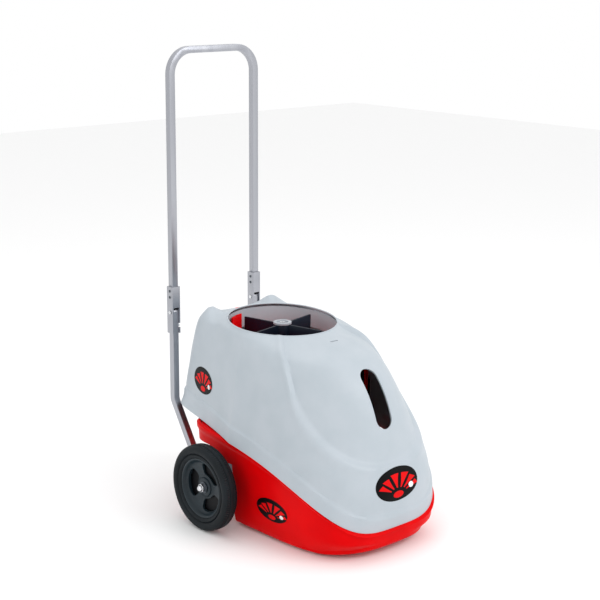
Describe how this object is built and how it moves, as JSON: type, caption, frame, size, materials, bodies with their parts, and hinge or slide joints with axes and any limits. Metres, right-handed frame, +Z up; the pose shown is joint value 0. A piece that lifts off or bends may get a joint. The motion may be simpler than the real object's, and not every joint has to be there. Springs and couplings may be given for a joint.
{
  "type": "ball throwing machine",
  "caption": "Wheeled battery ball thrower: red base, grey hopper turned over as a hood with a round mouth, turning ball carousel inside, tall folding tube handle at the back.",
  "frame": {"origin": "on the floor under the centre of the whole machine's bounding box", "axes": "+Z up, -Y towards the launch (front) end, +X to the right when looking at the front from -Y along +Y"},
  "size_m": [0.5166, 0.6596, 1.087],
  "materials": {
    "hood_plastic": "satin moulded polyethylene, light grey",
    "red_plastic": "glossy moulded, signal red",
    "black_plastic": "matte moulded, black",
    "navy_plastic": "matte moulded, dark navy",
    "grey_plastic": "satin moulded, grey",
    "hub_plastic": "moulded nylon, slate",
    "nylon": "turned nylon",
    "battery_case": "moulded battery case",
    "circuit_board": "lacquered circuit board",
    "tyre": "solid rubber tyre, ribbed",
    "rubber": "matte rubber",
    "launch_rubber": "grippy polyurethane",
    "webbing": "woven strap",
    "aluminium": "satin anodised",
    "bright_steel": "bright plated steel",
    "dark_steel": "dark plated steel",
    "motor_steel": "plated motor can",
    "brass": "machined brass"
  },
  "bodies": {
    "base": {"base_tub": "red_plastic", "bonnet_deck": "red_plastic", "upper_body": "red_plastic", "ball_tray": "red_plastic", "launch_throat": "black_plastic", "side_covers": "black_plastic", "rubber_feet": "rubber", "battery": "battery_case", "battery_strap": "webbing", "control_board": "circuit_board", "feed_motor": "motor_steel", "feed_bracket": "aluminium", "ball_chute": "black_plastic", "tilt_bearings": "black_plastic", "tilt_motor": "motor_steel", "tilt_motor_bracket": "aluminium", "rear_panel": "black_plastic", "charge_socket": "bright_steel", "axle": "bright_steel", "axle_spacers": "aluminium", "axle_washers": "dark_steel", "axle_nuts": "bright_steel", "frame_tube_left": "aluminium", "frame_tube_right": "aluminium", "frame_crossbar": "aluminium", "frame_brackets": "dark_steel", "fold_pins": "bright_steel", "deck_screws": "bright_steel"},
    "hood": {"hood_shell": "hood_plastic"},
    "handle": {"handle_loop": "aluminium", "hinge_sleeve_left": "aluminium", "hinge_sleeve_right": "aluminium", "sleeve_rivets": "dark_steel"},
    "wheel_left": {"tyre_left": "tyre", "hub_left": "hub_plastic", "hub_bush_left": "nylon"},
    "wheel_right": {"tyre_right": "tyre", "hub_right": "hub_plastic", "hub_bush_right": "nylon"},
    "carousel": {"carousel_rotor": "navy_plastic", "carousel_cap": "grey_plastic", "carousel_screw": "bright_steel", "feed_shaft": "bright_steel"},
    "launcher": {"launcher_cradle": "aluminium", "launch_motors": "motor_steel", "tilt_sector": "bright_steel"},
    "thrower_left": {"launch_wheel_left": "launch_rubber", "launch_hub_left": "aluminium"},
    "thrower_right": {"launch_wheel_right": "launch_rubber", "launch_hub_right": "aluminium"},
    "pinion": {"tilt_pinion": "brass"},
    "button_left": {"lock_button_left": "bright_steel"},
    "button_right": {"lock_button_right": "bright_steel"},
    "speed_dial": {"speed_knob": "black_plastic"},
    "feed_dial": {"feed_knob": "black_plastic"},
    "tilt_dial": {"tilt_knob": "black_plastic"},
    "power_switch": {"power_rocker": "red_plastic"}
  },
  "joints": [
    {"name": "wheel_left_spin", "type": "hinge", "parent": "base", "child": "wheel_left", "pos_m": [-0.238, 0.064, 0.1016], "axis": [1, 0, 0], "continuous": true},
    {"name": "wheel_right_spin", "type": "hinge", "parent": "base", "child": "wheel_right", "pos_m": [0.238, 0.064, 0.1016], "axis": [1, 0, 0], "continuous": true},
    {"name": "hood_lift", "type": "slide", "parent": "base", "child": "hood", "axis": [0, 0, 1], "range_m": [0, 0.25]},
    {"name": "handle_fold", "type": "hinge", "parent": "base", "child": "handle", "pos_m": [0, 0.3185, 0.452], "axis": [-1, 0, 0], "range_deg": [-80, 0]},
    {"name": "carousel_turn", "type": "hinge", "parent": "base", "child": "carousel", "pos_m": [0, 0.064, 0.42], "axis": [0, 0, 1], "continuous": true},
    {"name": "launcher_tilt", "type": "hinge", "parent": "base", "child": "launcher", "pos_m": [0, 0.015, 0.32], "axis": [-1, 0, 0], "range_deg": [0, 15]},
    {"name": "pinion_turn", "type": "hinge", "parent": "base", "child": "pinion", "pos_m": [-0.097, 0.03963, 0.25234], "axis": [-1, 0, 0], "range_deg": [-75, 0]},
    {"name": "thrower_left_spin", "type": "hinge", "parent": "launcher", "child": "thrower_left", "pos_m": [-0.068, -0.06, 0.32], "axis": [0, 0, 1], "continuous": true},
    {"name": "thrower_right_spin", "type": "hinge", "parent": "launcher", "child": "thrower_right", "pos_m": [0.068, -0.06, 0.32], "axis": [0, 0, 1], "continuous": true},
    {"name": "button_left_push", "type": "slide", "parent": "base", "child": "button_left", "axis": [-1, 0, 0], "range_m": [0, 0.004], "stiffness_N_per_m": 400, "springref_m": -0.003},
    {"name": "button_right_push", "type": "slide", "parent": "base", "child": "button_right", "axis": [1, 0, 0], "range_m": [0, 0.004], "stiffness_N_per_m": 400, "springref_m": -0.003},
    {"name": "speed_turn", "type": "hinge", "parent": "base", "child": "speed_dial", "pos_m": [-0.034, 0.168, 0.285], "axis": [0, 1, 0], "range_deg": [0, 270]},
    {"name": "feed_turn", "type": "hinge", "parent": "base", "child": "feed_dial", "pos_m": [0, 0.168, 0.285], "axis": [0, 1, 0], "range_deg": [0, 270]},
    {"name": "tilt_turn", "type": "hinge", "parent": "base", "child": "tilt_dial", "pos_m": [0.034, 0.168, 0.285], "axis": [0, 1, 0], "range_deg": [0, 270]},
    {"name": "power_rock", "type": "hinge", "parent": "base", "child": "power_switch", "pos_m": [-0.034, 0.168, 0.324], "axis": [1, 0, 0], "range_deg": [0, 20]}
  ],
  "couplings": [
    {"joint": "pinion_turn", "follows": "launcher_tilt", "ratio": -5},
    {"joint": "thrower_right_spin", "follows": "thrower_left_spin", "ratio": -1}
  ]
}
